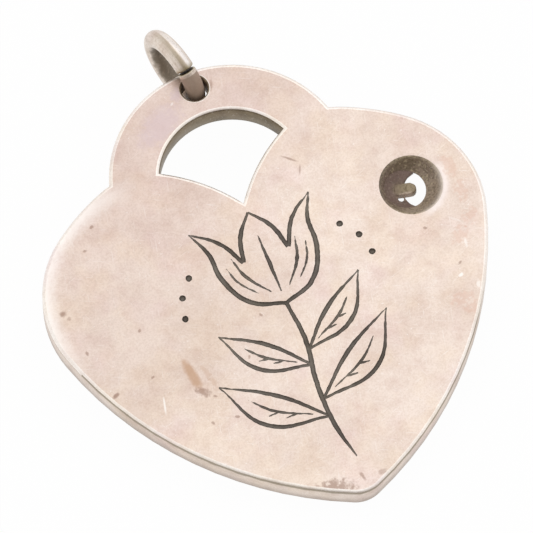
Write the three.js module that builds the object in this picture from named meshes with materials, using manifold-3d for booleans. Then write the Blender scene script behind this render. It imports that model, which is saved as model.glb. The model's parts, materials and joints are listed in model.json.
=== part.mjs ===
// Heart pendant in the shape of a padlock: a pierced silver plate, a bead peg soldered into a small cup
// in its right lobe, and a split jump ring through the top of its shackle.
// Millimetres. The plate lies on its back: its back face is z = 0, its front faces +Z, the point of the
// heart lies towards -Y and the ring towards +Y. The origin is on the back face, on the heart's axis.
import * as THREE from 'three';
import { mergeVertices } from 'three/addons/utils/BufferGeometryUtils.js';
import Module from 'manifold-3d';

const wasm = await Module();
wasm.setup();

// Plate
const plateThickness = 2.0;
const edgeRounding = 0.2;

// Heart outline, one half: arcs that run on smoothly from the point of the heart round to its cleft.
// A turn is the angle in degrees through which the outline bends along that arc.
const heartWidth = 33.6;
const tipReach = 19.0;
const tipRadius = 2.4;
const tipTurn = 23.8;
const sideTurn = 49.2;
const lobeRadius = 8.2;
const lobeTurn = 69;
const shoulderRadius = 18;
const shoulderTurn = 16;
const crownTurn = 52;
const cleftRadius = 13.8;
const cleftTurn = 26.4;

// Shackle: a flat round band whose centre lies below the crowns of the lobes, with a hole for the ring
const shackleRadius = 9.0;
const shackleDrop = 2.75;
const holeOuterWall = 0.45;
const holeInnerWall = 1.25;
const holeChamfer = 0.1;

// Jump ring of round wire: it leans to the left and lies a little to the right in its hole. Its cut faces
// the front, and ringCutTurn is the angle round the ring from the hole to the cut.
const wireRadius = 0.7;
const ringRadius = 2.6;
const ringRestTurn = 15.7;
const ringSideShift = 0.06;
const ringClearance = 0.125;
const ringCutWidth = 0.25;
const ringCutTurn = 54;

// Cup: a ball-cut hollow set out from the centre of the right lobe, with a rim worn round. Its bore widens to
// the back and was drilled off the cup's axis, towards the angle boreTurn.
const cupRadius = 2.25;
const cupRimRounding = 0.35;
const cupFloor = 0.75;
const cupOutset = 3.3;
const cupRise = 1.13;
const boreRadius = 1.5;
const boreBackRadius = 1.95;
const boreShift = 0.46;
const boreTurn = 160;

// Bead peg: a stub of round wire on the axis of the cup. A crescent of solder lines the far side of the bore,
// and a bridge of solder as wide as the stub joins the two.
const pegRadius = 0.4;
const pegDrop = 0.55;
const pegFoot = 0.7;
const bridgeHeight = 0.55;
const crescentHeight = 0.35;
const crescentEdge = 0.5;
const crescentHollow = 1.55;
const solderGap = 0.1;

// Facets
const arcSteps = 14;
const bandSteps = 96;
const turnedSteps = 40;
const wireSides = 16;
const wireSteps = 64;
const roundingSteps = 2;
const domeSteps = 5;
const filletSteps = 4;
const mergeTolerance = 1e-5;
const cutMargin = 1;

const rad = THREE.MathUtils.degToRad;

// One half of the heart as a walk along its arcs. The side's radius gives the heart its width, and the
// crown's radius brings the walk back to the axis at the cleft.
function walkHeart() {
  const tipEnd = rad(tipTurn);
  const sideEnd = tipEnd + rad(sideTurn);
  const lobeEnd = sideEnd + rad(lobeTurn);
  const shoulderEnd = lobeEnd + rad(shoulderTurn);
  const crownEnd = shoulderEnd + rad(crownTurn);
  const cleftEnd = crownEnd + rad(cleftTurn);

  const tipSpan = tipRadius * Math.sin(tipEnd);
  const lobeSpan = lobeRadius * (1 - Math.sin(sideEnd));
  const sideRadius = (heartWidth / 2 - tipSpan - lobeSpan) / (Math.sin(sideEnd) - Math.sin(tipEnd));
  const lobeReturn = lobeRadius * (1 - Math.sin(lobeEnd));
  const shoulderReturn = shoulderRadius * (Math.sin(lobeEnd) - Math.sin(shoulderEnd));
  const cleftReturn = cleftRadius * (Math.sin(crownEnd) - Math.sin(cleftEnd));
  const crownReturn = heartWidth / 2 - lobeReturn - shoulderReturn - cleftReturn;
  const crownRadius = crownReturn / (Math.sin(shoulderEnd) - Math.sin(crownEnd));

  const arcs = [
    { name: 'tip', radius: tipRadius, end: tipEnd },
    { name: 'side', radius: sideRadius, end: sideEnd },
    { name: 'lobe', radius: lobeRadius, end: lobeEnd },
    { name: 'shoulder', radius: shoulderRadius, end: shoulderEnd },
    { name: 'crown', radius: crownRadius, end: crownEnd },
    { name: 'cleft', radius: cleftRadius, end: cleftEnd },
  ];
  const points = [new THREE.Vector2(0, -tipReach)];
  const centres = {};
  let heading = 0;
  for (const { name, radius, end } of arcs) {
    const toCentre = new THREE.Vector2(-Math.sin(heading), Math.cos(heading)).multiplyScalar(radius);
    const centre = points.at(-1).clone().add(toCentre);
    for (let step = 1; step <= arcSteps; step += 1) {
      const angle = THREE.MathUtils.lerp(heading, end, step / arcSteps);
      const spoke = new THREE.Vector2(Math.sin(angle), -Math.cos(angle)).multiplyScalar(radius);
      points.push(spoke.add(centre));
    }
    centres[name] = centre;
    heading = end;
  }
  points.at(-1).x = 0;
  return { points, centres, crownRadius };
}

// Places that the rest of the pendant is set out from
const { points: heartHalf, centres, crownRadius } = walkHeart();
const crownHeight = centres.crown.y + crownRadius;
const shackleCentre = new THREE.Vector2(0, crownHeight - shackleDrop);

// The ring's curve is centred in the thickness of the plate, and the hole clears the slanting wire
const midPlate = plateThickness / 2;
const ringSlope = Math.asin(midPlate / ringRadius);
const ringSag = ringRadius * (1 - Math.cos(ringSlope));
const wireReach = Math.hypot(ringSideShift, ringSag / 2) + wireRadius / Math.cos(ringSlope);
const holeRadius = wireReach + ringClearance;
const shackleBand = holeOuterWall + 2 * holeRadius + holeInnerWall;
const holeCentre = new THREE.Vector2(0, shackleCentre.y + shackleRadius - holeOuterWall - holeRadius);

// The bowl is part of a ball. The bore meets it at the neck, highest on the far side, and the rounding of the
// rim touches both the ball and the face.
const cupCentre = new THREE.Vector2(centres.lobe.x + cupOutset, centres.lobe.y + cupRise);
const cupDepth = plateThickness - cupFloor;
const ballRadius = (cupRadius ** 2 + cupDepth ** 2) / (2 * cupDepth);
const ballHeight = cupFloor + ballRadius;
const neckHeight = ballHeight - Math.sqrt(ballRadius ** 2 - boreRadius ** 2);
const neckTop = ballHeight - Math.sqrt(ballRadius ** 2 - (boreRadius + boreShift) ** 2);
const rimAngle = Math.acos((ballHeight - plateThickness + cupRimRounding) / (ballRadius + cupRimRounding));
const rimReach = (ballRadius + cupRimRounding) * Math.sin(rimAngle);

// Solids and booleans
function toSolid(geometry) {
  const bare = geometry.clone();
  bare.deleteAttribute('normal');
  bare.deleteAttribute('uv');
  const merged = mergeVertices(bare, mergeTolerance);
  const vertProperties = new Float32Array(merged.attributes.position.array);
  const triVerts = new Uint32Array(merged.index.array);
  return new wasm.Manifold(new wasm.Mesh({ numProp: 3, vertProperties, triVerts }));
}

function toGeometry(solid) {
  const mesh = solid.getMesh();
  const geometry = new THREE.BufferGeometry();
  geometry.setAttribute('position', new THREE.BufferAttribute(mesh.vertProperties, 3));
  geometry.setIndex(new THREE.BufferAttribute(mesh.triVerts, 1));
  geometry.computeVertexNormals();
  return geometry;
}

// A flat shape of the plate's thickness whose outline keeps its size and whose edges are rounded
function roundedPlate(shape) {
  const geometry = new THREE.ExtrudeGeometry(shape, {
    depth: plateThickness - 2 * edgeRounding,
    bevelEnabled: true,
    bevelThickness: edgeRounding,
    bevelSize: edgeRounding,
    bevelOffset: -edgeRounding,
    bevelSegments: roundingSteps,
    curveSegments: bandSteps / 2,
  });
  return geometry.translate(0, 0, edgeRounding);
}

// A turned solid about the Z axis, from its profile of radius and height
function turned(profile) {
  const points = profile.map(([radius, height]) => new THREE.Vector2(radius, height));
  return new THREE.LatheGeometry(points, turnedSteps).rotateX(Math.PI / 2);
}

// Points of a round profile between two angles, measured from straight down, about a centre at the given
// height and reach from the axis
function roundProfile(radius, height, from, to, steps, reach = 0) {
  const profile = [];
  for (let step = 0; step <= steps; step += 1) {
    const angle = THREE.MathUtils.lerp(from, to, step / steps);
    profile.push([reach + radius * Math.sin(angle), height - radius * Math.cos(angle)]);
  }
  return profile;
}

// Heart plate: heart and shackle in one piece, then the ring's hole and the cup
function heartSolid() {
  const mirrored = heartHalf.slice(1, -1).reverse().map(({ x, y }) => new THREE.Vector2(-x, y));
  return toSolid(roundedPlate(new THREE.Shape([...heartHalf, ...mirrored])));
}

function shackleSolid() {
  const band = new THREE.Shape();
  band.absarc(0, 0, shackleRadius, 0, 2 * Math.PI);
  const opening = new THREE.Path();
  opening.absarc(0, 0, shackleRadius - shackleBand, 0, 2 * Math.PI);
  band.holes.push(opening);
  return toSolid(roundedPlate(band).translate(shackleCentre.x, shackleCentre.y, 0));
}

function ringHoleSolid() {
  const mouthRadius = holeRadius + holeChamfer;
  const drill = turned([
    [0, -cutMargin],
    [mouthRadius, -cutMargin],
    [mouthRadius, 0],
    [holeRadius, holeChamfer],
    [holeRadius, plateThickness - holeChamfer],
    [mouthRadius, plateThickness],
    [mouthRadius, plateThickness + cutMargin],
    [0, plateThickness + cutMargin],
  ]);
  return toSolid(drill.translate(holeCentre.x, holeCentre.y, 0));
}

function cupSolid() {
  const wall = roundProfile(ballRadius, ballHeight, 0, rimAngle, arcSteps);
  const rimHeight = plateThickness - cupRimRounding;
  const rimStart = rimAngle - Math.PI;
  const rim = roundProfile(cupRimRounding, rimHeight, rimStart, -Math.PI, filletSteps, rimReach);
  const bowl = turned([
    ...wall,
    ...rim.slice(1),
    [rimReach, plateThickness + cutMargin],
    [0, plateThickness + cutMargin],
  ]);

  const flare = (boreBackRadius - boreRadius) / neckHeight;
  const drillTop = THREE.MathUtils.lerp(neckTop, plateThickness, 0.1);
  const bore = turned([
    [0, -cutMargin],
    [boreBackRadius + flare * cutMargin, -cutMargin],
    [boreRadius, neckHeight],
    [boreRadius, drillTop],
    [0, drillTop],
  ]);
  bore.translate(boreShift, 0, 0).rotateZ(rad(boreTurn));
  return toSolid(bowl).add(toSolid(bore)).translate([cupCentre.x, cupCentre.y, 0]);
}

function heartPlateGeometry() {
  const blank = heartSolid().add(shackleSolid());
  return toGeometry(blank.subtract(ringHoleSolid()).subtract(cupSolid()));
}

// Bead peg: a domed stub of wire, the crescent of solder along the bore and the bridge between them. The
// crescent is a disc with a round hollow taken out of its near side.
function beadPegGeometry() {
  const domeHeight = plateThickness - pegDrop - pegRadius;
  const dome = roundProfile(pegRadius, domeHeight, Math.PI / 2, Math.PI, domeSteps);
  dome.at(-1)[0] = 0;
  const peg = turned([[0, pegFoot], [pegRadius, pegFoot], ...dome]);

  const discRadius = boreRadius * Math.cos(Math.PI / turnedSteps) - solderGap;
  const discTop = pegFoot + crescentHeight;
  const disc = turned([[0, pegFoot], [discRadius, pegFoot], [discRadius, discTop], [0, discTop]]);
  disc.translate(boreShift, 0, 0);
  const hollow = turned([[0, 0], [crescentHollow, 0], [crescentHollow, plateThickness], [0, plateThickness]]);
  hollow.translate(crescentEdge - crescentHollow, 0, 0);

  const bridgeLength = THREE.MathUtils.lerp(crescentEdge, boreShift + discRadius, 0.5);
  const bridge = new THREE.BoxGeometry(bridgeLength, 2 * pegRadius, bridgeHeight);
  bridge.translate(bridgeLength / 2, 0, pegFoot + bridgeHeight / 2);

  const solder = toSolid(disc).subtract(toSolid(hollow)).add(toSolid(bridge));
  return toGeometry(solder.rotate([0, 0, boreTurn]).add(toSolid(peg)));
}

// Jump ring: the wire runs once round from one side of the cut to the other
class RingArc extends THREE.Curve {
  getPoint(t, target = new THREE.Vector3()) {
    const cutAngle = ringCutWidth / ringRadius;
    const angle = rad(ringCutTurn) + cutAngle / 2 + t * (2 * Math.PI - cutAngle);
    const outwards = ringRadius * (1 - Math.cos(angle)) - ringSag / 2;
    return target.set(ringSideShift, outwards, midPlate + ringRadius * Math.sin(angle));
  }
}

function jumpRingGeometry() {
  const wire = new THREE.Shape();
  wire.absarc(0, 0, wireRadius, 0, 2 * Math.PI);
  return new THREE.ExtrudeGeometry(wire, {
    steps: wireSteps,
    curveSegments: wireSides / 2,
    extrudePath: new RingArc(),
  });
}

// Finishes
const wornSilver = { color: 0xe6d4c7, roughness: 0.42, metalness: 1 };
const dullSilver = { color: 0xb9a996, roughness: 0.5, metalness: 1 };
const brightSilver = { color: 0xd8cdc0, roughness: 0.34, metalness: 1 };

function piece(name, geometry, finish) {
  const mesh = new THREE.Mesh(geometry, new THREE.MeshStandardMaterial(finish));
  mesh.name = name;
  return mesh;
}

// Assembly
const pendant = new THREE.Group();
pendant.add(piece('heart_plate', heartPlateGeometry(), wornSilver));

const beadPeg = piece('bead_peg', beadPegGeometry(), dullSilver);
beadPeg.position.set(cupCentre.x, cupCentre.y, 0);
pendant.add(beadPeg);

const ringSwivel = new THREE.Group();
ringSwivel.position.set(holeCentre.x, holeCentre.y, 0);
ringSwivel.rotation.z = rad(ringRestTurn);
ringSwivel.add(piece('jump_ring', jumpRingGeometry(), brightSilver));
pendant.add(ringSwivel);

export default pendant;
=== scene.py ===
import json
import math

import bpy
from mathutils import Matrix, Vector


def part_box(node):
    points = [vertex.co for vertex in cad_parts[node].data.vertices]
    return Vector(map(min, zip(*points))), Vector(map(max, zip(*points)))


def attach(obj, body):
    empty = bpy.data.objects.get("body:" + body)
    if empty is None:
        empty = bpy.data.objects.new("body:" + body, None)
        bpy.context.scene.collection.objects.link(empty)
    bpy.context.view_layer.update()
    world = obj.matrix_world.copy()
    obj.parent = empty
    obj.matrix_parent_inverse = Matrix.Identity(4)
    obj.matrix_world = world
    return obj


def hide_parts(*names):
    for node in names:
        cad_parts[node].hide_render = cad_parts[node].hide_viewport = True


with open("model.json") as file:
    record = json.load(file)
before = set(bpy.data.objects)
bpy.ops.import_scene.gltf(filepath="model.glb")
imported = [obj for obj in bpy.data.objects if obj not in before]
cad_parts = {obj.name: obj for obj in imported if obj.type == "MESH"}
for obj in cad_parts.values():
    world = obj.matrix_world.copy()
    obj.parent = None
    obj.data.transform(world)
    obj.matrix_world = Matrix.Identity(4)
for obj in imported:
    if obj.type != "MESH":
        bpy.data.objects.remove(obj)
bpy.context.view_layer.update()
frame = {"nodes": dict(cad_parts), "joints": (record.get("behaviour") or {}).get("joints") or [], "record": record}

# Aged silver, the metal of every piece: warm from years of handling, clouded with thin tarnish, with fine
# brown specks in its pores, bare bright flecks, and hairline scratches that run every way.
MM = 0.001


def add_node(tree, kind, **settings):
    node = tree.nodes.new(kind)
    for name, value in settings.items():
        setattr(node, name, value)
    return node


def math_node(tree, operation, first, second):
    node = add_node(tree, "ShaderNodeMath", operation=operation)
    for socket, value in zip(node.inputs, (first, second)):
        if isinstance(value, (int, float)):
            socket.default_value = value
        else:
            tree.links.new(value, socket)
    return node.outputs["Value"]


def times(tree, first, second):
    return math_node(tree, "MULTIPLY", first, second)


def step_node(tree, value, none_at, full_at):
    """A mask that goes smoothly from 0, where the value is none_at, to 1, where it is full_at."""
    node = add_node(tree, "ShaderNodeMapRange", interpolation_type="SMOOTHSTEP")
    tree.links.new(value, node.inputs["Value"])
    node.inputs["From Min"].default_value = none_at
    node.inputs["From Max"].default_value = full_at
    return node.outputs["Result"]


def mix_node(tree, share, first, second, blend="MIX"):
    node = add_node(tree, "ShaderNodeMix", data_type="RGBA", blend_type=blend)
    factor, first_colour, second_colour = node.inputs[0], node.inputs[6], node.inputs[7]
    for socket, value in ((factor, share), (first_colour, first), (second_colour, second)):
        if isinstance(value, (int, float, tuple)):
            socket.default_value = value
        else:
            tree.links.new(value, socket)
    mixed_colour = node.outputs[2]
    return mixed_colour


def noise_node(tree, place, grain_size, detail=3.0, variant=0.0):
    node = add_node(tree, "ShaderNodeTexNoise", noise_dimensions="4D")
    tree.links.new(place, node.inputs["Vector"])
    node.inputs["W"].default_value = variant
    node.inputs["Scale"].default_value = 1 / grain_size
    node.inputs["Detail"].default_value = detail
    return node.outputs["Fac"]


def tinted(tree, colour, share, tint):
    return mix_node(tree, share, colour, mix_node(tree, 1.0, colour, tint, "MULTIPLY"))


def silver_group():
    group = bpy.data.node_groups.new("aged_silver", "ShaderNodeTree")
    sockets = group.interface
    for name, kind in (
        ("Silver", "NodeSocketColor"),
        ("Tarnish", "NodeSocketColor"),
        ("Tarnish Amount", "NodeSocketFloat"),
        ("Specks", "NodeSocketFloat"),
        ("Scratches", "NodeSocketFloat"),
        ("Dullness", "NodeSocketFloat"),
    ):
        sockets.new_socket(name, in_out="INPUT", socket_type=kind)
    for name, kind in (
        ("Color", "NodeSocketColor"),
        ("Roughness", "NodeSocketFloat"),
        ("Height", "NodeSocketFloat"),
    ):
        sockets.new_socket(name, in_out="OUTPUT", socket_type=kind)
    given = add_node(group, "NodeGroupInput")
    place = add_node(group, "ShaderNodeTexCoord").outputs["Object"]

    cloud = noise_node(group, place, 3.6 * MM, detail=4.0)
    blotch = noise_node(group, place, 0.8 * MM, variant=1.7)
    mottle = math_node(group, "ADD", times(group, cloud, 0.6), times(group, blotch, 0.4))
    haze = step_node(group, mottle, 0.4, 0.64)
    tarnished = times(group, haze, given.outputs["Tarnish Amount"])
    colour = mix_node(group, tarnished, given.outputs["Silver"], given.outputs["Tarnish"])

    straw_tint = (1.0, 0.985, 0.945, 1)
    straw = step_node(group, noise_node(group, place, 2.4 * MM, variant=3.1), 0.42, 0.66)
    colour = tinted(group, colour, straw, straw_tint)
    lilac_tint = (0.985, 0.955, 0.985, 1)
    lilac = step_node(group, noise_node(group, place, 3.0 * MM, variant=5.3), 0.48, 0.7)
    colour = tinted(group, colour, lilac, lilac_tint)

    bruise_tint = (0.94, 0.91, 0.905, 1)
    bruise = step_node(group, noise_node(group, place, 1.1 * MM, detail=2.0, variant=2.9), 0.45, 0.75)
    colour = tinted(group, colour, bruise, bruise_tint)
    grain_tint = (0.92, 0.905, 0.89, 1)
    grain = noise_node(group, place, 0.13 * MM, detail=2.0, variant=2.2)
    colour = tinted(group, colour, step_node(group, grain, 0.38, 0.66), grain_tint)

    pore_tint = (0.52, 0.40, 0.34, 1)
    pores = step_node(group, noise_node(group, place, 0.24 * MM, detail=2.0, variant=4.4), 0.66, 0.8)
    gather = step_node(group, noise_node(group, place, 1.6 * MM, detail=2.0, variant=6.1), 0.5, 0.68)
    speck = times(group, times(group, pores, gather), given.outputs["Specks"])
    colour = tinted(group, colour, speck, pore_tint)

    fresh_silver = (1.0, 0.95, 0.91, 1)
    scratch_depth = 0.4 * MM
    fleck = noise_node(group, place, 0.17 * MM, detail=1.0, variant=7.9)
    scratch = step_node(group, fleck, 0.69, 0.78)
    for turn, length, width in ((0.35, 1.1, 0.05), (1.35, 1.6, 0.05), (2.0, 0.9, 0.055), (2.7, 1.3, 0.055)):
        lay = add_node(group, "ShaderNodeMapping", vector_type="TEXTURE")
        group.links.new(place, lay.inputs["Vector"])
        lay.inputs["Rotation"].default_value = (0, 0, turn)
        lay.inputs["Scale"].default_value = (length * MM, width * MM, scratch_depth)
        hairline = noise_node(group, lay.outputs["Vector"], 1.0, detail=1.0, variant=turn)
        scratch = math_node(group, "MAXIMUM", scratch, step_node(group, hairline, 0.66, 0.76))
    scratch = times(group, scratch, given.outputs["Scratches"])
    colour = mix_node(group, times(group, scratch, 0.7), colour, fresh_silver)

    roughness = math_node(group, "ADD", given.outputs["Dullness"], times(group, cloud, 0.2))
    roughness = math_node(group, "ADD", roughness, times(group, speck, 0.3))
    height = math_node(group, "SUBTRACT", times(group, grain, 0.5), speck)
    height = math_node(group, "SUBTRACT", height, times(group, scratch, 0.5))

    result = add_node(group, "NodeGroupOutput")
    group.links.new(colour, result.inputs["Color"])
    group.links.new(roughness, result.inputs["Roughness"])
    group.links.new(height, result.inputs["Height"])
    return group


aged_silver = silver_group()


def silver_material(
    name, silver, tarnish, tarnish_amount, specks, scratches, dullness, relief=0.008 * MM, metal=1.0
):
    material = bpy.data.materials.new(name)
    material.use_nodes = True
    tree = material.node_tree
    shader = tree.nodes["Principled BSDF"]
    shader.inputs["Metallic"].default_value = metal
    wear = add_node(tree, "ShaderNodeGroup", node_tree=aged_silver, name="wear")
    wear.inputs["Silver"].default_value = (*silver, 1)
    wear.inputs["Tarnish"].default_value = (*tarnish, 1)
    wear.inputs["Tarnish Amount"].default_value = tarnish_amount
    wear.inputs["Specks"].default_value = specks
    wear.inputs["Scratches"].default_value = scratches
    wear.inputs["Dullness"].default_value = dullness
    bump = add_node(tree, "ShaderNodeBump", name="relief")
    bump.inputs["Strength"].default_value = 0.6
    bump.inputs["Distance"].default_value = relief
    tree.links.new(wear.outputs["Color"], shader.inputs["Base Color"])
    tree.links.new(wear.outputs["Roughness"], shader.inputs["Roughness"])
    tree.links.new(wear.outputs["Height"], bump.inputs["Height"])
    tree.links.new(bump.outputs["Normal"], shader.inputs["Normal"])
    return material


def paint_over(material, share, colour, strength=1.0, blend="MIX"):
    """Lay a colour over what the material has so far, where the mask called share lets it show."""
    tree = material.node_tree
    base = tree.nodes["Principled BSDF"].inputs["Base Color"]
    below = base.links[0].from_socket
    tree.links.new(mix_node(tree, times(tree, share, strength), below, (*colour, 1), blend), base)


# Heart plate: heart and shackle sawn as one from thick silver plate, with edges filed round, and the
# shackle's window, the ring's hole and the bead cup cut through it. Its face is burnished by wear, and
# tarnish stays on its walls and in every hollow. Painted light lies over this: a painted highlight on the
# rims, along the left lobe's edge and by the cup's lip, painted shade on the walls, the shackle and the left
# lobe, and painted light and shade in the bead cup.
def take_up(piece):
    bpy.ops.object.select_all(action="DESELECT")
    piece.select_set(True)
    bpy.context.view_layer.objects.active = piece


def choose_faces(piece, rule):
    take_up(piece)
    bpy.ops.object.mode_set(mode="EDIT")
    bpy.ops.mesh.select_mode(type="FACE")
    bpy.ops.mesh.select_all(action="DESELECT")
    bpy.ops.object.mode_set(mode="OBJECT")
    for face in piece.data.polygons:
        face.select = rule(face)
    bpy.ops.object.mode_set(mode="EDIT")


weld_distance = 0.0005 * MM
level_within = math.radians(0.3)
plate = bpy.data.objects.new("plate", frame["nodes"]["heart_plate"].data.copy())
bpy.context.scene.collection.objects.link(plate)
take_up(plate)
bpy.ops.object.mode_set(mode="EDIT")
bpy.ops.mesh.select_all(action="SELECT")
bpy.ops.mesh.customdata_custom_splitnormals_clear()
bpy.ops.mesh.remove_doubles(threshold=weld_distance)
bpy.ops.mesh.select_all(action="SELECT")
bpy.ops.mesh.dissolve_limited(angle_limit=level_within)
bpy.ops.object.mode_set(mode="OBJECT")

roll_width = 0.07 * MM
level_slope = 0.999
choose_faces(plate, lambda face: abs(face.normal.z) > level_slope)
bpy.ops.mesh.inset(thickness=roll_width, use_even_offset=True)
bpy.ops.object.mode_set(mode="OBJECT")
inside_roll = {face.index for face in plate.data.polygons if face.select}

burnished_face = silver_material(
    "burnished_face",
    silver=(0.88, 0.755, 0.675),
    tarnish=(0.77, 0.62, 0.535),
    tarnish_amount=0.5,
    specks=0.16,
    scratches=0.65,
    dullness=0.3,
)
# Rims: the rounded edges and a thin strip along them are lighter than the face, partly wear and partly a painted
# highlight.
rim_wear_and_highlight = silver_material(
    "rim_wear_and_highlight",
    silver=(0.99, 0.93, 0.88),
    tarnish=(0.86, 0.75, 0.67),
    tarnish_amount=0.4,
    specks=0.1,
    scratches=0.4,
    dullness=0.24,
)
# Walls: darker than the face, partly tarnish and partly painted shade.
wall_tarnish_and_shade = silver_material(
    "wall_tarnish_and_shade",
    silver=(0.83, 0.73, 0.655),
    tarnish=(0.65, 0.54, 0.47),
    tarnish_amount=0.7,
    specks=0.5,
    scratches=0.3,
    dullness=0.36,
)
pitted = 0.03 * MM
crusted = 0.3
dark_hollow = silver_material(
    "dark_hollow",
    silver=(0.32, 0.245, 0.18),
    tarnish=(0.19, 0.135, 0.09),
    tarnish_amount=0.9,
    specks=1.0,
    scratches=0.3,
    dullness=0.4,
    relief=pitted,
    metal=crusted,
)
dark_wall = silver_material(
    "dark_wall",
    silver=(0.24, 0.19, 0.125),
    tarnish=(0.13, 0.10, 0.065),
    tarnish_amount=0.8,
    specks=0.4,
    scratches=0.2,
    dullness=0.34,
)
black_groove = silver_material(
    "black_groove",
    silver=(0.25, 0.225, 0.195),
    tarnish=(0.14, 0.12, 0.105),
    tarnish_amount=0.8,
    specks=0.0,
    scratches=0.0,
    dullness=0.5,
)

FACE_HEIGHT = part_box("heart_plate")[1].z


def fade_by_height(material, none_at, full_at, colour, strength):
    """Lay a colour on by height above the back: none of it at one height, all of it at the other."""
    tree = material.node_tree
    place = add_node(tree, "ShaderNodeTexCoord").outputs["Object"]
    split = add_node(tree, "ShaderNodeSeparateXYZ")
    tree.links.new(place, split.inputs["Vector"])
    ragged = math_node(tree, "SUBTRACT", noise_node(tree, place, 0.6 * MM, variant=8.8), 0.5)
    height = math_node(tree, "ADD", split.outputs["Z"], times(tree, ragged, 0.3 * MM))
    paint_over(material, step_node(tree, height, none_at * MM, full_at * MM), colour, strength)


def ragged_edge(tree):
    """Noise that frays the edges of a material's marks, made once for all of them."""
    noise = tree.nodes.get("ragged_edge")
    if noise is None:
        place = add_node(tree, "ShaderNodeTexCoord").outputs["Object"]
        noise = noise_node(tree, place, 0.3 * MM, detail=4.0, variant=9.5).node
        noise.name = "ragged_edge"
    return math_node(tree, "SUBTRACT", noise.outputs["Fac"], 0.5)


def mark(
    material,
    centre,
    half_length,
    half_width,
    turn,
    colour,
    strength,
    raggedness,
    half_depth=0.5,
    blend="MIX",
):
    """Lay a ragged oval of colour, in millimetres, turned by degrees: a stain, smear or scratch, and in places a
    patch of painted light or shade.
    """
    tree = material.node_tree
    place = add_node(tree, "ShaderNodeTexCoord").outputs["Object"]
    spot = add_node(tree, "ShaderNodeMapping", vector_type="TEXTURE")
    tree.links.new(place, spot.inputs["Vector"])
    spot.inputs["Location"].default_value = (centre[0] * MM, centre[1] * MM, FACE_HEIGHT)
    spot.inputs["Rotation"].default_value = (0, 0, math.radians(turn))
    spot.inputs["Scale"].default_value = (half_length * MM, half_width * MM, half_depth * MM)
    ball = add_node(tree, "ShaderNodeTexGradient", gradient_type="SPHERICAL")
    tree.links.new(spot.outputs["Vector"], ball.inputs["Vector"])
    frayed = math_node(tree, "ADD", ball.outputs["Fac"], times(tree, ragged_edge(tree), raggedness))
    within = step_node(tree, ball.outputs["Fac"], 0.0, 0.3)
    share = times(tree, step_node(tree, frayed, 0.0, 0.7), within)
    paint_over(material, share, colour, strength, blend)


def grit(material, grain_size, variant, none_at, full_at, colour, strength):
    """Sprinkle grains of a colour where fine noise rises from one level to the other."""
    tree = material.node_tree
    place = add_node(tree, "ShaderNodeTexCoord").outputs["Object"]
    grains = noise_node(tree, place, grain_size * MM, detail=2.0, variant=variant)
    paint_over(material, step_node(tree, grains, none_at, full_at), colour, strength)


def painted_light_arc(material, centre, radius, width, facing, colour, strength):
    """Paint a band along an arc, on the side of its centre that the direction facing points to: a painted
    highlight when the colour is light, and painted shade when it is dark.
    """
    tree = material.node_tree
    place = add_node(tree, "ShaderNodeTexCoord").outputs["Object"]
    spoke = add_node(tree, "ShaderNodeVectorMath", operation="SUBTRACT")
    tree.links.new(place, spoke.inputs[0])
    spoke.inputs[1].default_value = (centre[0] * MM, centre[1] * MM, FACE_HEIGHT)
    length = add_node(tree, "ShaderNodeVectorMath", operation="LENGTH")
    tree.links.new(spoke.outputs["Vector"], length.inputs[0])
    towards = add_node(tree, "ShaderNodeVectorMath", operation="DOT_PRODUCT")
    tree.links.new(spoke.outputs["Vector"], towards.inputs[0])
    towards.inputs[1].default_value = (*facing, 0)
    away = math_node(tree, "SUBTRACT", length.outputs["Value"], radius * MM)
    ragged = times(tree, ragged_edge(tree), 0.5 * width * MM)
    depth = math_node(tree, "ADD", math_node(tree, "ABSOLUTE", away, 0.0), ragged)
    band = step_node(tree, depth, width * MM, 0.0)
    side = step_node(tree, towards.outputs["Value"], 0.3 * radius * MM, 0.9 * radius * MM)
    paint_over(material, times(tree, band, side), colour, strength)


peg_top = max(frame["nodes"]["bead_peg"].data.vertices, key=lambda vertex: vertex.co.z).co
cup_axis = peg_top.xy
cup_centre = cup_axis / MM
cup_lip = 2.45
lobe_centre = (-8.6, 1.03)
lobe_radius = 8.2
upper_left = (-0.82, 0.57)
lower_right = (0.83, -0.56)
left = (-0.9, 0.3)

# Painted shade: the shackle and the left lobe are darker than the rest of the face.
shackle_painted_shade = (0.85, 0.80, 0.81)
lobe_painted_shade = (0.86, 0.83, 0.82)
mark(burnished_face, (-4, 14), 22, 13, 20, shackle_painted_shade, strength=0.8, raggedness=0.2, blend="MULTIPLY")
mark(burnished_face, (-9, -2), 13, 9, 0, lobe_painted_shade, strength=0.65, raggedness=0.2, blend="MULTIPLY")
# Painted highlights: a bright band along the rounded edge of the left lobe, and one on the face at the cup's lower
# right lip.
painted_light_arc(burnished_face, lobe_centre, lobe_radius, 1.4, upper_left, colour=(1.0, 0.94, 0.90), strength=0.85)
painted_light_arc(burnished_face, cup_centre, cup_lip, 0.55, lower_right, colour=(0.98, 0.90, 0.88), strength=0.6)

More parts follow.
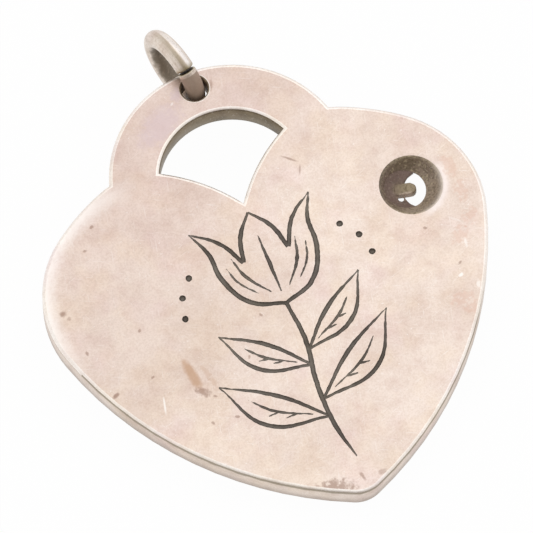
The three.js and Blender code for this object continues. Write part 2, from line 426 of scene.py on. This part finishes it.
RUST_BROWN = (0.55, 0.35, 0.23)
DARK_BROWN = (0.33, 0.20, 0.15)
ROSE_BROWN = (0.72, 0.47, 0.37)
LILAC_GREY = (0.66, 0.53, 0.55)
BARE_SILVER = (1.0, 0.97, 0.93)
for centre, half_length, half_width, turn, colour, strength, raggedness in (
    ((-15.43, 1.93), 0.36, 0.32, 0, DARK_BROWN, 0.7, 0.8),
    ((-15.15, 1.4), 0.24, 0.2, 0, DARK_BROWN, 0.4, 0.8),
    ((-8.44, -5.95), 1.9, 0.55, 98, RUST_BROWN, 0.8, 0.7),
    ((-8.15, -7.5), 0.9, 0.45, 140, DARK_BROWN, 0.6, 2.4),
    ((-7.3, -6.6), 1.6, 0.3, 105, RUST_BROWN, 0.3, 2.0),
    ((-11.15, -7.45), 1.0, 0.11, 76.7, BARE_SILVER, 0.65, 0.8),
    ((-14.15, -5.45), 0.45, 0.22, 26, DARK_BROWN, 0.75, 1.2),
    ((-1.9, -17.9), 1.9, 0.9, 160, DARK_BROWN, 0.65, 2.6),
    ((0.12, -17.8), 0.5, 0.2, -80, DARK_BROWN, 0.6, 1.8),
    ((1.6, -18.0), 0.45, 0.35, 0, DARK_BROWN, 0.4, 1.8),
    ((-3.4, 13.2), 3.0, 1.7, 30, LILAC_GREY, 0.6, 1.2),
    ((-1.4, 15.2), 0.8, 0.6, 60, LILAC_GREY, 0.6, 1.6),
    ((1.2, 14.95), 0.6, 0.22, 68, DARK_BROWN, 0.5, 1.6),
    ((-2.0, 14.6), 0.25, 0.1, 40, BARE_SILVER, 0.4, 2.4),
    ((4.4, 7.35), 0.85, 0.13, -42, DARK_BROWN, 0.6, 0.8),
    ((4.8, 6.3), 0.6, 0.11, 66, DARK_BROWN, 0.5, 0.8),
):
    mark(burnished_face, centre, half_length, half_width, turn, colour, strength, raggedness)
for across, up in ((12.0, -7.6), (15.0, 2.6), (13.7, -2.8), (15.1, 0.4), (14.9, -1.7), (12.7, -8.5)):
    mark(burnished_face, (across, up), 1.2, 0.7, 70 + 9 * up, ROSE_BROWN, strength=0.34, raggedness=4)
for centre, half_length, half_width, turn, strength, raggedness in (
    ((12.6, -5.8), 0.28, 0.2, 30, 0.8, 1.2),
    ((13.9, -3.55), 0.5, 0.18, 80, 0.5, 1.6),
    ((13.9, -1.6), 0.8, 0.12, -42, 0.25, 1.6),
    ((13.55, -6.9), 0.45, 0.2, 75, 0.5, 4),
    ((12.2, -9.7), 0.5, 0.2, 60, 0.5, 4),
):
    mark(burnished_face, centre, half_length, half_width, turn, BARE_SILVER, strength, raggedness)
for across, up in (
    (12.9, -4.9),
    (11.6, -1.4),
    (-2.1, -3.4),
    (-4.1, -6.2),
    (-10.7, -1.3),
    (-11.0, 7.6),
    (-12.2, 6.0),
    (-14.9, -1.6),
    (-6.6, -10.2),
    (-8.4, -10.0),
    (-11.2, -5.1),
    (-7.5, -8.1),
):
    mark(burnished_face, (across, up), 0.25, 0.15, 30 * across, DARK_BROWN, strength=0.6, raggedness=2.4)

# Painted light and shade in the bead cup: lighter at its bottom and lower right, darker at its left and top.
for centre, half_length, half_width, colour, strength, raggedness, half_depth in (
    ((11.4, 0.3), 1.7, 1.7, (0.46, 0.36, 0.27), 0.7, 1.2, 3),
    ((13.3, 0.6), 2.8, 2.8, (0.40, 0.305, 0.225), 0.7, 1.2, 3),
    ((10.3, 3.1), 2.9, 2.9, (0.215, 0.15, 0.122), 0.9, 0.6, 4),
    ((12.0, 3.9), 1.7, 1.1, (0.17, 0.125, 0.07), 0.6, 1.2, 3),
):
    mark(dark_hollow, centre, half_length, half_width, 0, colour, strength, raggedness, half_depth)
fade_by_height(dark_hollow, none_at=1.78, full_at=2.02, colour=(0.48, 0.40, 0.26), strength=0.4)
grit(dark_hollow, 0.15, variant=3.7, none_at=0.48, full_at=0.6, colour=(0.12, 0.09, 0.05), strength=0.6)
grit(dark_hollow, 0.18, variant=6.6, none_at=0.56, full_at=0.66, colour=(0.52, 0.43, 0.28), strength=0.5)
# Painted highlight on the cup's lip at its lower right, and painted shade on its lip at the left.
painted_light_arc(dark_hollow, cup_centre, cup_lip, 0.6, lower_right, colour=(0.82, 0.72, 0.64), strength=0.8)
painted_light_arc(dark_hollow, cup_centre, cup_lip, 0.35, left, colour=(0.09, 0.065, 0.05), strength=0.7)

# Painted light on the walls: painted shade makes them darker towards the sheet at the foot and in a dark line just
# under the rim, and a painted highlight makes the wall along the right side of the heart lighter.
painted_wall_highlight = (0.95, 0.87, 0.81)
fade_by_height(wall_tarnish_and_shade, none_at=1.2, full_at=0.2, colour=(0.46, 0.38, 0.325), strength=0.7)
fade_by_height(wall_tarnish_and_shade, none_at=1.66, full_at=1.8, colour=(0.28, 0.24, 0.17), strength=0.7)
mark(wall_tarnish_and_shade, (15.6, -3.5), 9, 3.5, 72, painted_wall_highlight, strength=0.9, raggedness=0.4, half_depth=2)

FACE, RIM, WALL, HOLLOW, DARK, GROOVE = range(6)
plate.data.materials.clear()
for material in (burnished_face, rim_wear_and_highlight, wall_tarnish_and_shade, dark_hollow, dark_wall, black_groove):
    plate.data.materials.append(material)

cup_reach = 2.42 * MM
cup_apron = 3 * MM
ring_hole = Vector(frame["joints"][0]["pos_m"][:2])
hole_reach = 1.12 * MM
window_low = Vector((-5.6 * MM, 5.2 * MM))
window_high = Vector((5.6 * MM, 13.1 * MM))
face_slope = 0.985
upper_rim_slope = 0.25
lower_rim_slope = 0.6
turned_down = -0.3


def in_window(place):
    return all(low < at < high for low, at, high in zip(window_low, place.xy, window_high))


for face in plate.data.polygons:
    slope = abs(face.normal.z)
    rim_slope = lower_rim_slope if face.normal.y < turned_down else upper_rim_slope
    from_cup = (face.center.xy - cup_axis).length
    from_hole = (face.center.xy - ring_hole).length
    if slope > face_slope:
        face.material_index = FACE if face.index in inside_roll or from_cup < cup_apron else RIM
    elif from_cup < cup_reach or from_hole < hole_reach:
        face.material_index = HOLLOW
    elif slope > rim_slope:
        face.material_index = RIM
    elif in_window(face.center):
        face.material_index = DARK
    else:
        face.material_index = WALL

# Engraving: a tulip sprig, a common folk motif, cut into the face with a round-nosed graver. Its lines swell
# and taper with the hand's pressure, have ragged edges, and are darkened so that they show on worn silver.
GRAVER_HEIGHT = FACE_HEIGHT + 0.05 * MM
strokes = []


def stroke(*points):
    """One pull of the graver, through points that each give a place and half the line's width there."""
    strokes.append(points)


def both_sides(*points):
    stroke(*points)
    stroke(*[(-across, up, half_width) for across, up, half_width in points])


def leaf(base, tip, lower_belly, upper_belly):
    base, tip = Vector(base), Vector(tip)
    along = (tip - base).normalized()
    across = Vector((-along.y, along.x))
    middle = (base + tip) / 2
    for belly in (lower_belly, upper_belly):
        bend = middle + across * belly
        stroke((*base, 0.12), (*bend, 0.19), (*tip, 0.07))
    vein = middle + across * (lower_belly + upper_belly) / 2
    stroke((*base.lerp(vein, 0.3), 0.07), (*vein, 0.13), (*vein.lerp(tip, 0.45), 0.06))
    for share in (0.55, 0.85):
        foot = base.lerp(vein, share)
        side_vein = foot + along * 0.75 + across * lower_belly * 0.33
        stroke((*foot, 0.07), (*foot.lerp(side_vein, 0.5), 0.1), (*side_vein, 0.06))


stroke((0.3, -16.2, 0.08), (-0.25, -13.5, 0.2), (-0.3, -10, 0.2), (0.2, -6.5, 0.2), (0, -3.2, 0.16))
both_sides((0, -3.2, 0.16), (2.4, -2.2, 0.2), (3.7, 0.2, 0.21), (3.9, 2.5, 0.18), (4.7, 4.4, 0.07))
both_sides((4.7, 4.4, 0.07), (2.9, 3.0, 0.17), (1.75, 0.9, 0.19))
both_sides((1.75, 0.9, 0.19), (1.2, 2.9, 0.19), (0, 4.5, 0.1))
both_sides((0.7, -2.0, 0.07), (2.0, -0.2, 0.15), (2.5, 1.5, 0.06))
both_sides((1.5, -1.9, 0.06), (2.7, -0.4, 0.11), (3.1, 0.9, 0.06))
stroke((0, -2.2, 0.07), (0, 0.2, 0.17), (0, 2.6, 0.06))
leaf((-0.3, -12.6), (-7.0, -7.6), 1.9, -0.5)
leaf((-0.32, -11.2), (6.6, -6.2), -1.9, 0.5)
leaf((-0.05, -8.4), (-5.6, -3.9), 1.5, -0.5)
leaf((0.15, -7.2), (5.8, -2.7), -1.5, 0.5)

paths = bpy.data.curves.new("graver_paths", "CURVE")
paths.dimensions = "3D"
paths.bevel_depth = MM
paths.bevel_resolution = 3
paths.resolution_u = 20
paths.use_fill_caps = True
for points in strokes:
    line = paths.splines.new("BEZIER")
    line.bezier_points.add(len(points) - 1)
    for knot, (across, up, half_width) in zip(line.bezier_points, points):
        knot.co = (across * MM, up * MM, GRAVER_HEIGHT)
        knot.handle_left_type = knot.handle_right_type = "AUTO"
        knot.radius = half_width
graver = bpy.data.objects.new("graver", paths)
bpy.context.scene.collection.objects.link(graver)
take_up(graver)
bpy.ops.object.convert(target="MESH")
graver = bpy.context.object
bpy.ops.object.mode_set(mode="EDIT")
bpy.ops.mesh.select_all(action="SELECT")
bpy.ops.mesh.remove_doubles(threshold=0.002 * MM)
bpy.ops.mesh.select_all(action="SELECT")
bpy.ops.mesh.normals_make_consistent(inside=False)
bpy.ops.object.mode_set(mode="OBJECT")
graver.data.materials.append(black_groove)

dot_radius = 0.26 * MM
for side in (-1, 1):
    for across, up in ((5.9, 1.2), (6.9, -0.1), (7.3, -1.7)):
        place = (side * across * MM, up * MM, GRAVER_HEIGHT)
        bpy.ops.object.select_all(action="DESELECT")
        bpy.ops.mesh.primitive_uv_sphere_add(segments=20, ring_count=12, radius=dot_radius, location=place)
        bpy.ops.object.transform_apply(location=True, rotation=True, scale=True)
        bpy.context.object.data.materials.append(black_groove)
        graver.select_set(True)
        bpy.context.view_layer.objects.active = graver
        bpy.ops.object.join()

wobble = bpy.data.textures.new("hand_wobble", "CLOUDS")
wobble.noise_scale = 0.4 * MM
shake = graver.modifiers.new("hand_wobble", "DISPLACE")
shake.texture = wobble
shake.texture_coords = "LOCAL"
shake.strength = 0.1 * MM
take_up(graver)
bpy.ops.object.modifier_apply(modifier=shake.name)

take_up(plate)
cut = plate.modifiers.new("engraving", "BOOLEAN")
cut.operation = "DIFFERENCE"
cut.solver = "EXACT"
cut.use_self = True
cut.material_mode = "TRANSFER"
cut.object = graver
bpy.ops.object.modifier_apply(modifier=cut.name)
bpy.data.objects.remove(graver)

bpy.ops.object.shade_smooth_by_angle(angle=math.radians(50))
choose_faces(plate, lambda face: face.material_index == GROOVE)
bpy.ops.mesh.region_to_loop()
bpy.ops.mesh.mark_sharp()
bpy.ops.object.mode_set(mode="OBJECT")
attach(plate, "heart")
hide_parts("heart_plate")

# Bead peg: a stub of silver wire, left when its bead was lost, that stands on the axis of the cup. Solder
# that ran along one side of the bore, in a crescent with one gap in it, bridges across to hold the stub.
solder_degrees = 160
solder_turn = math.radians(solder_degrees)
solder_way = Vector((math.cos(solder_turn), math.sin(solder_turn)))
# The peg's dark colour is partly patina and partly painted shade, like the shaded left side of the bowl beside it.
peg_silver = silver_material(
    "peg_silver",
    silver=(0.25, 0.175, 0.148),
    tarnish=(0.18, 0.122, 0.10),
    tarnish_amount=0.8,
    specks=0.6,
    scratches=0.2,
    dullness=0.42,
    relief=pitted,
    metal=crusted,
)
# Painted light: the top of the stub is lighter, and its lower side lighter still.
stub_top_painted_light = cup_centre + Vector((-0.3, 0.1))
stub_underside_painted_light = stub_top_painted_light + Vector((-0.2, -0.5))
for centre, half_sizes, colour, strength in (
    (stub_top_painted_light, (1.5, 1.1), (0.33, 0.26, 0.165), 1.0),
    (stub_underside_painted_light, (1.1, 0.4), (0.60, 0.48, 0.39), 0.9),
):
    mark(peg_silver, centre, *half_sizes, solder_degrees, colour, strength, raggedness=0.6, half_depth=2.6)
grit(peg_silver, 0.13, variant=3.7, none_at=0.5, full_at=0.64, colour=(0.13, 0.095, 0.06), strength=0.4)
grit(peg_silver, 0.16, variant=6.6, none_at=0.58, full_at=0.7, colour=(0.50, 0.41, 0.28), strength=0.3)


def upright_cone(axis, low_radius, high_radius, low, high):
    bpy.ops.object.select_all(action="DESELECT")
    bpy.ops.mesh.primitive_cone_add(
        vertices=48,
        radius1=low_radius,
        radius2=high_radius,
        depth=high - low,
        location=(*axis, (low + high) / 2),
    )
    bpy.ops.object.transform_apply(location=True, rotation=True, scale=True)
    return bpy.context.object


peg_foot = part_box("bead_peg")[0].z
bore_offset = 0.46
bore_axis = cup_axis + solder_way * bore_offset * MM
bore_radius = 1.57 * MM
solder_top = 1.7 * MM
crescent = upright_cone(bore_axis, bore_radius, bore_radius, peg_foot, solder_top)
hollow_axis = cup_axis + Vector((0.92, -0.25)) * MM
hollow_radius = 1.5 * MM
hollow = upright_cone(hollow_axis, hollow_radius, hollow_radius, 0, FACE_HEIGHT)
gap_axis = cup_axis + Vector((-0.9, -0.34)) * MM
gap_back_radius = 0.23 * MM
gap_front_radius = 0.2 * MM
gap = upright_cone(gap_axis, gap_back_radius, gap_front_radius, 0, FACE_HEIGHT)
bowl_radius = 2.67 * MM
bowl_centre = (*cup_axis, 3.4 * MM)
bpy.ops.object.select_all(action="DESELECT")
bpy.ops.mesh.primitive_uv_sphere_add(segments=96, ring_count=64, radius=bowl_radius, location=bowl_centre)
bpy.ops.object.transform_apply(location=True, rotation=True, scale=True)
bowl = bpy.context.object
for cutter in (hollow, gap, bowl):
    take_up(crescent)
    trim = crescent.modifiers.new("trim", "BOOLEAN")
    trim.operation = "DIFFERENCE"
    trim.solver = "EXACT"
    trim.object = cutter
    bpy.ops.object.modifier_apply(modifier=trim.name)
    bpy.data.objects.remove(cutter)

stub_radius = 0.42 * MM
stub_tip_radius = 0.4 * MM
bridge_length = 1.2 * MM
bridge_width = 2.1 * stub_radius
bridge_height = 0.74 * MM
bridge_sag = 0.34 * MM
end_facing = 0.9
bpy.ops.object.select_all(action="DESELECT")
bpy.ops.mesh.primitive_cube_add(
    size=1,
    location=(*(cup_axis + solder_way * bridge_length / 2), peg_foot + bridge_height / 2),
    rotation=(0, 0, solder_turn),
    scale=(bridge_length, bridge_width, bridge_height),
)
bridge = bpy.context.object
bpy.ops.object.transform_apply(location=True, rotation=True, scale=True)
choose_faces(bridge, lambda face: face.normal.xy.dot(solder_way) > end_facing)
bpy.ops.transform.translate(value=(0, 0, -bridge_sag))
bpy.ops.object.mode_set(mode="OBJECT")

peg = upright_cone(cup_axis, stub_radius, stub_tip_radius, peg_foot, peg_top.z)
peg.name = "peg"
choose_faces(peg, lambda face: face.normal.z > end_facing)
bpy.ops.mesh.bevel(offset=0.12 * MM, segments=4)
bpy.ops.object.mode_set(mode="OBJECT")
take_up(peg)
crescent.select_set(True)
bridge.select_set(True)
bpy.ops.object.join()
melt = peg.modifiers.new("melt_together", "REMESH")
melt.mode = "VOXEL"
melt.voxel_size = 0.035 * MM
bpy.ops.object.modifier_apply(modifier=melt.name)
lumps = bpy.data.textures.new("solder_lumps", "CLOUDS")
lumps.noise_scale = 0.3 * MM
lump = peg.modifiers.new("solder_lumps", "DISPLACE")
lump.texture = lumps
lump.texture_coords = "LOCAL"
lump.strength = 0.05 * MM
bpy.ops.object.modifier_apply(modifier=lump.name)
bpy.ops.object.mode_set(mode="EDIT")
bpy.ops.mesh.select_all(action="SELECT")
bpy.ops.mesh.vertices_smooth(factor=0.5, repeat=8)
bpy.ops.object.mode_set(mode="OBJECT")
bpy.ops.object.shade_smooth()
peg.data.materials.clear()
peg.data.materials.append(peg_silver)
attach(peg, "heart")
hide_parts("bead_peg")

# Jump ring: round silver wire, bent once round and sawn through, so that it can be sprung open and closed on
# its hole. Drawing left fine streaks along the wire. It is bright outside and brown inside, and its sawn ends are
# dark, partly tarnish and partly painted shade in the narrow cut. Near the cut a painted highlight and a painted
# line of shade run along the wire, and the wire's end there and the wire that runs through the hole are darkened
# with painted shade.
ring_silver = silver_material(
    "ring_silver",
    silver=(0.82, 0.73, 0.65),
    tarnish=(0.58, 0.475, 0.39),
    tarnish_amount=0.7,
    specks=0.9,
    scratches=0.5,
    dullness=0.22,
)
# The sawn ends are dark: partly tarnish and partly painted shade in the narrow cut.
cut_end = silver_material(
    "cut_end",
    silver=(0.20, 0.16, 0.12),
    tarnish=(0.10, 0.075, 0.055),
    tarnish_amount=0.8,
    specks=0.3,
    scratches=0.0,
    dullness=0.45,
)
ring_mount = next(mount for mount in frame["record"]["mounts"] if mount["name"] == "ring_loop")
ring_centre = Vector(ring_mount["pos_m"])
ring_axis = Vector(ring_mount["axis"])
ring_low, ring_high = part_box("jump_ring")
wire_radius = 0.7 * MM
ring_radius = (ring_high.z - ring_low.z) / 2 - wire_radius
cut_turn = math.radians(54)
cut_gap = 0.16 * MM
cut_angle = cut_gap / ring_radius
to_hole = Vector((ring_axis.y, -ring_axis.x, 0))
start_turn = cut_turn + cut_angle / 2
upright = Vector((0, 0, 1))
start = ring_centre + ring_radius * (to_hole * math.cos(start_turn) + upright * math.sin(start_turn))
onwards = upright * math.cos(start_turn) - to_hole * math.sin(start_turn)

bpy.ops.object.select_all(action="DESELECT")
bpy.ops.mesh.primitive_circle_add(
    vertices=28,
    radius=wire_radius,
    location=start,
    rotation=onwards.to_track_quat("Z", "Y").to_euler(),
)
ring = bpy.context.object
ring.name = "ring"
bpy.ops.object.transform_apply(location=True, rotation=True, scale=True)
bpy.ops.object.mode_set(mode="EDIT")
bpy.ops.mesh.select_all(action="SELECT")
bpy.ops.mesh.spin(steps=112, angle=2 * math.pi - cut_angle, center=ring_centre, axis=-ring_axis)
bpy.ops.mesh.select_all(action="SELECT")
bpy.ops.mesh.fill_holes(sides=0)
bpy.ops.mesh.select_all(action="SELECT")
bpy.ops.mesh.normals_make_consistent(inside=False)
bpy.ops.object.mode_set(mode="OBJECT")


def is_sawn_end(face):
    """A sawn end is one many-sided face, and the wire's other faces have four sides at most."""
    return len(face.vertices) > 4


choose_faces(ring, is_sawn_end)
bpy.ops.mesh.region_to_loop()
bpy.ops.mesh.bevel(offset=0.13 * MM, segments=3)
bpy.ops.object.mode_set(mode="OBJECT")
bpy.ops.object.shade_smooth_by_angle(angle=math.radians(40))
ring.data.materials.append(ring_silver)
ring.data.materials.append(cut_end)
for face in ring.data.polygons:
    face.material_index = int(is_sawn_end(face))

wire_place = ring.data.attributes.new("wire_place", "FLOAT_VECTOR", "POINT")
for vertex, entry in zip(ring.data.vertices, wire_place.data):
    arm = vertex.co - ring_centre
    sideways = arm.dot(ring_axis)
    spoke = arm - ring_axis * sideways
    turn = (math.atan2(spoke.dot(upright), spoke.dot(to_hole)) - cut_turn) % (2 * math.pi)
    entry.vector = (sideways, spoke.length - ring_radius, turn * ring_radius)

ring_tree = ring_silver.node_tree
on_wire = add_node(ring_tree, "ShaderNodeAttribute", attribute_name="wire_place").outputs["Vector"]
split_wire = add_node(ring_tree, "ShaderNodeSeparateXYZ")
ring_tree.links.new(on_wire, split_wire.inputs["Vector"])
beside, outwards, from_cut = (split_wire.outputs[axis] for axis in "XYZ")

streak_width = 0.16 * MM
streak_length = 2.4 * MM
drawn = add_node(ring_tree, "ShaderNodeMapping", vector_type="TEXTURE")
ring_tree.links.new(on_wire, drawn.inputs["Vector"])
drawn.inputs["Scale"].default_value = (streak_width, streak_width, streak_length)
streaks = noise_node(ring_tree, drawn.outputs["Vector"], 1.0)
paint_over(ring_silver, step_node(ring_tree, streaks, 0.46, 0.7), colour=(0.46, 0.37, 0.29), strength=0.5)

lengthwise = noise_node(ring_tree, drawn.outputs["Vector"], 1.0, variant=1.3)
waver = times(ring_tree, math_node(ring_tree, "SUBTRACT", lengthwise, 0.5), 0.3 * MM)
across_wire = math_node(ring_tree, "ADD", beside, waver)
near_cut = step_node(ring_tree, from_cut, 5.0 * MM, 0.5 * MM)


def line_near_cut(left_edge, left_full, right_full, right_edge):
    """A mask for a line along the wire that fades away from the cut, with its soft edges in millimetres."""
    from_left = step_node(ring_tree, across_wire, left_edge * MM, left_full * MM)
    from_right = step_node(ring_tree, across_wire, right_edge * MM, right_full * MM)
    return times(ring_tree, times(ring_tree, from_left, near_cut), from_right)


# Painted shade: a dark olive line along one side of the wire, fading away from the cut.
painted_shade_line = line_near_cut(-0.42, -0.12, -0.04, 0.12)
paint_over(ring_silver, painted_shade_line, colour=(0.36, 0.29, 0.19), strength=0.75)
# Painted highlight: a bright line along the wire beside it, fading away from the cut.
painted_highlight_line = line_near_cut(0.04, 0.2, 0.35, 0.6)
paint_over(ring_silver, painted_highlight_line, colour=(1.0, 0.95, 0.93), strength=0.85)

wire_fray = noise_node(ring_tree, on_wire, 0.6 * MM, variant=1.3)
ragged_outwards = math_node(ring_tree, "ADD", outwards, times(ring_tree, wire_fray, 0.6 * MM))
inside = times(ring_tree, step_node(ring_tree, ragged_outwards, 0.1 * MM, -0.3 * MM), 0.95)
paint_over(ring_silver, inside, colour=(0.16, 0.125, 0.085))
grit(ring_silver, 0.25, variant=5.2, none_at=0.56, full_at=0.7, colour=(0.33, 0.27, 0.20), strength=0.4)
# Painted shade: the wire's end just after the cut is darker olive.
shaded_strand_end = step_node(ring_tree, from_cut, 0.65 * MM, 0.25 * MM)
paint_over(ring_silver, shaded_strand_end, colour=(0.33, 0.275, 0.16), strength=0.8)

# Painted shade: the wire from the plate's hole up to the cut is painted brown.
wire_length = (2 * math.pi - cut_angle) * ring_radius
ragged_from_cut = math_node(ring_tree, "ADD", from_cut, times(ring_tree, wire_fray, 1.2 * MM))
far_from_cut = step_node(ring_tree, ragged_from_cut, wire_length - 4.6 * MM, wire_length - 3.2 * MM)
short_of_end = step_node(ring_tree, from_cut, wire_length, wire_length - 0.06 * MM)
hole_strand_shade = times(ring_tree, times(ring_tree, far_from_cut, short_of_end), 0.9)
paint_over(ring_silver, hole_strand_shade, colour=(0.36, 0.26, 0.195))
grit(ring_silver, 0.16, variant=6.6, none_at=0.56, full_at=0.68, colour=(0.52, 0.42, 0.32), strength=0.25)

# The brown inside and the painted shade in the hole are also made less metallic and rougher.
crust = times(ring_tree, math_node(ring_tree, "MAXIMUM", inside, hole_strand_shade), 0.75)
shader = ring_tree.nodes["Principled BSDF"]
ring_tree.links.new(math_node(ring_tree, "SUBTRACT", 1.0, crust), shader.inputs["Metallic"])
smooth = shader.inputs["Roughness"].links[0].from_socket
matt = math_node(ring_tree, "ADD", smooth, times(ring_tree, crust, 0.25))
ring_tree.links.new(matt, shader.inputs["Roughness"])
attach(ring, "ring")
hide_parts("jump_ring")

# Stage: a white sheet under the pendant. The pendant rests on the point of the heart and on its ring, which
# reaches below the plate, so the sheet is tilted to touch both. From below it is clear, to show the back.
heart_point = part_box("heart_plate")[0].y
sheet_gap = 0.02 * MM
tilt = math.atan2(ring_low.z, ring_centre.y - heart_point)
bpy.ops.object.select_all(action="DESELECT")
bpy.ops.mesh.primitive_plane_add(size=4, location=(0, heart_point, -sheet_gap), rotation=(tilt, 0, 0))
sheet = bpy.context.object
sheet.name = "sheet"
white_sheet = bpy.data.materials.new("white_sheet")
white_sheet.use_nodes = True
sheet_tree = white_sheet.node_tree
sheet_tree.nodes.clear()
shadowed = add_node(sheet_tree, "ShaderNodeBsdfDiffuse")
shadowed.inputs["Color"].default_value = (0.95, 0.95, 0.95, 1)
glow = add_node(sheet_tree, "ShaderNodeEmission")
seen_by = add_node(sheet_tree, "ShaderNodeLightPath").outputs
seen = math_node(sheet_tree, "MAXIMUM", seen_by["Is Camera Ray"], seen_by["Is Glossy Ray"])
seen = math_node(sheet_tree, "MAXIMUM", seen, seen_by["Is Transmission Ray"])
glow_share = 0.96
lit = add_node(sheet_tree, "ShaderNodeMixShader")
sheet_tree.links.new(times(sheet_tree, seen, glow_share), lit.inputs["Fac"])
sheet_tree.links.new(shadowed.outputs["BSDF"], lit.inputs[1])
sheet_tree.links.new(glow.outputs["Emission"], lit.inputs[2])
from_below = add_node(sheet_tree, "ShaderNodeNewGeometry").outputs["Backfacing"]
clear = add_node(sheet_tree, "ShaderNodeBsdfTransparent")
one_sided = add_node(sheet_tree, "ShaderNodeMixShader")
sheet_tree.links.new(from_below, one_sided.inputs["Fac"])
sheet_tree.links.new(lit.outputs["Shader"], one_sided.inputs[1])
sheet_tree.links.new(clear.outputs["BSDF"], one_sided.inputs[2])
result = add_node(sheet_tree, "ShaderNodeOutputMaterial")
sheet_tree.links.new(one_sided.outputs["Shader"], result.inputs["Surface"])
sheet.data.materials.append(white_sheet)

# Light: a white tent, whose open mouth is dimmer, so that the silver mirrors an even white with one darker
# patch in it, and one large soft box above the shackle.
tent_white = (0.97, 0.97, 0.97, 1)
mouth_grey = (0.48, 0.45, 0.43, 1)
mouth_way = (-0.15, -0.93, 0.33)
world = bpy.data.worlds.new("tent")
bpy.context.scene.world = world
world.use_nodes = True
tent_tree = world.node_tree
tent = tent_tree.nodes["Background"]
way = add_node(tent_tree, "ShaderNodeTexCoord")
facing = add_node(tent_tree, "ShaderNodeVectorMath", operation="DOT_PRODUCT")
tent_tree.links.new(way.outputs["Generated"], facing.inputs[0])
facing.inputs[1].default_value = mouth_way
mouth = step_node(tent_tree, facing.outputs["Value"], 0.5, 0.95)
tent_tree.links.new(mix_node(tent_tree, mouth, tent_white, mouth_grey), tent.inputs["Color"])

bpy.ops.object.light_add(type="AREA", location=(0.25, 0.35, 0.6))
soft_box = bpy.context.object
soft_box.name = "soft_box"
soft_box.data.shape = "SQUARE"
soft_box.data.size = 0.5
soft_box.data.energy = 0.22
soft_box.rotation_euler = soft_box.location.to_track_quat("Z", "Y").to_euler()

# Camera: a long lens, that looks down on the front from below and to the left, so that the thickness of the
# plate shows along its lower edge.
azimuth = math.radians(-21.57)
elevation = math.radians(66.88)
view_distance = 581.8 * MM
aim = Vector((-0.306 * MM, 0, FACE_HEIGHT))
back = Vector(
    (
        math.sin(azimuth) * math.cos(elevation),
        -math.cos(azimuth) * math.cos(elevation),
        math.sin(elevation),
    )
)
bpy.ops.object.camera_add(location=aim + back * view_distance)
camera = bpy.context.object
camera.rotation_euler = back.to_track_quat("Z", "Y").to_euler()
camera.data.sensor_width = 36
camera.data.lens = 540.3
camera.data.clip_start = 0.05
bpy.context.scene.camera = camera
bpy.context.scene.view_settings.view_transform = "Standard"
